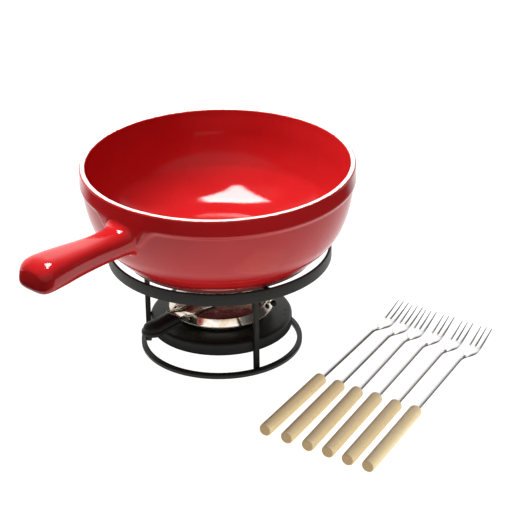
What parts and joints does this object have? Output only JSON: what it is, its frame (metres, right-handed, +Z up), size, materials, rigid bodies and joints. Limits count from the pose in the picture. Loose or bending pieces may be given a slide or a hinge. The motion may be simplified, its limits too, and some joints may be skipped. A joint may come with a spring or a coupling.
{
  "type": "fondue pot set",
  "caption": "Glazed ceramic pot with stub handle on a three-legged steel stand, over a burner with a shutter cover, with long wood-handled forks laid beside it.",
  "frame": {"origin": "on the stand's vertical axis at table level, in the plane of the base ring's underside", "axes": "+Z up, -Y towards the front where the front leg and the forks' handles are, +X to the right"},
  "size_m": [0.4077, 0.3526, 0.176],
  "materials": {
    "red_glaze": "glossy glaze, unglazed cream edge on the rim",
    "black_paint": "satin black paint",
    "polished_steel": "polished stainless steel",
    "fork_steel": "polished stainless steel",
    "black_plastic": "satin black moulded plastic",
    "beech_wood": "bare beech, sanded"
  },
  "bodies": {
    "stand": {"base_ring": "black_paint", "top_ring": "black_paint", "leg_1": "black_paint", "leg_2": "black_paint", "leg_3": "black_paint", "burner_tray": "black_paint"},
    "pot": {"caquelon": "red_glaze"},
    "burner": {"fuel_cup": "polished_steel"},
    "cover": {"burner_cover": "polished_steel", "shutter_pivot": "polished_steel", "handle_strip": "polished_steel", "burner_grip": "black_plastic"},
    "shutter": {"shutter_disc": "polished_steel", "knob_stem": "polished_steel", "shutter_knob": "black_plastic"},
    "fork_1": {"fork_1_handle": "beech_wood", "fork_1_prongs": "fork_steel"},
    "fork_2": {"fork_2_handle": "beech_wood", "fork_2_prongs": "fork_steel"},
    "fork_3": {"fork_3_handle": "beech_wood", "fork_3_prongs": "fork_steel"},
    "fork_4": {"fork_4_handle": "beech_wood", "fork_4_prongs": "fork_steel"},
    "fork_5": {"fork_5_handle": "beech_wood", "fork_5_prongs": "fork_steel"},
    "fork_6": {"fork_6_handle": "beech_wood", "fork_6_prongs": "fork_steel"}
  },
  "joints": [
    {"name": "pot_lift", "type": "slide", "parent": "stand", "child": "pot", "axis": [0, 0, 1], "range_m": [0, 0.15]},
    {"name": "burner_slide", "type": "slide", "parent": "stand", "child": "burner", "axis": [-0.5446, -0.8387, 0], "range_m": [0, 0.17]},
    {"name": "cover_lift", "type": "slide", "parent": "burner", "child": "cover", "axis": [0, 0, 1], "range_m": [0, 0.028]},
    {"name": "shutter_turn", "type": "hinge", "parent": "cover", "child": "shutter", "pos_m": [0, 0, 0.0425], "axis": [0, 0, 1], "range_deg": [0, 60]},
    {"name": "fork_1_lift", "type": "slide", "parent": "stand", "child": "fork_1", "axis": [0, 0, 1], "range_m": [0, 0.08]},
    {"name": "fork_2_lift", "type": "slide", "parent": "stand", "child": "fork_2", "axis": [0, 0, 1], "range_m": [0, 0.08]},
    {"name": "fork_3_lift", "type": "slide", "parent": "stand", "child": "fork_3", "axis": [0, 0, 1], "range_m": [0, 0.08]},
    {"name": "fork_4_lift", "type": "slide", "parent": "stand", "child": "fork_4", "axis": [0, 0, 1], "range_m": [0, 0.08]},
    {"name": "fork_5_lift", "type": "slide", "parent": "stand", "child": "fork_5", "axis": [0, 0, 1], "range_m": [0, 0.08]},
    {"name": "fork_6_lift", "type": "slide", "parent": "stand", "child": "fork_6", "axis": [0, 0, 1], "range_m": [0, 0.08]}
  ]
}
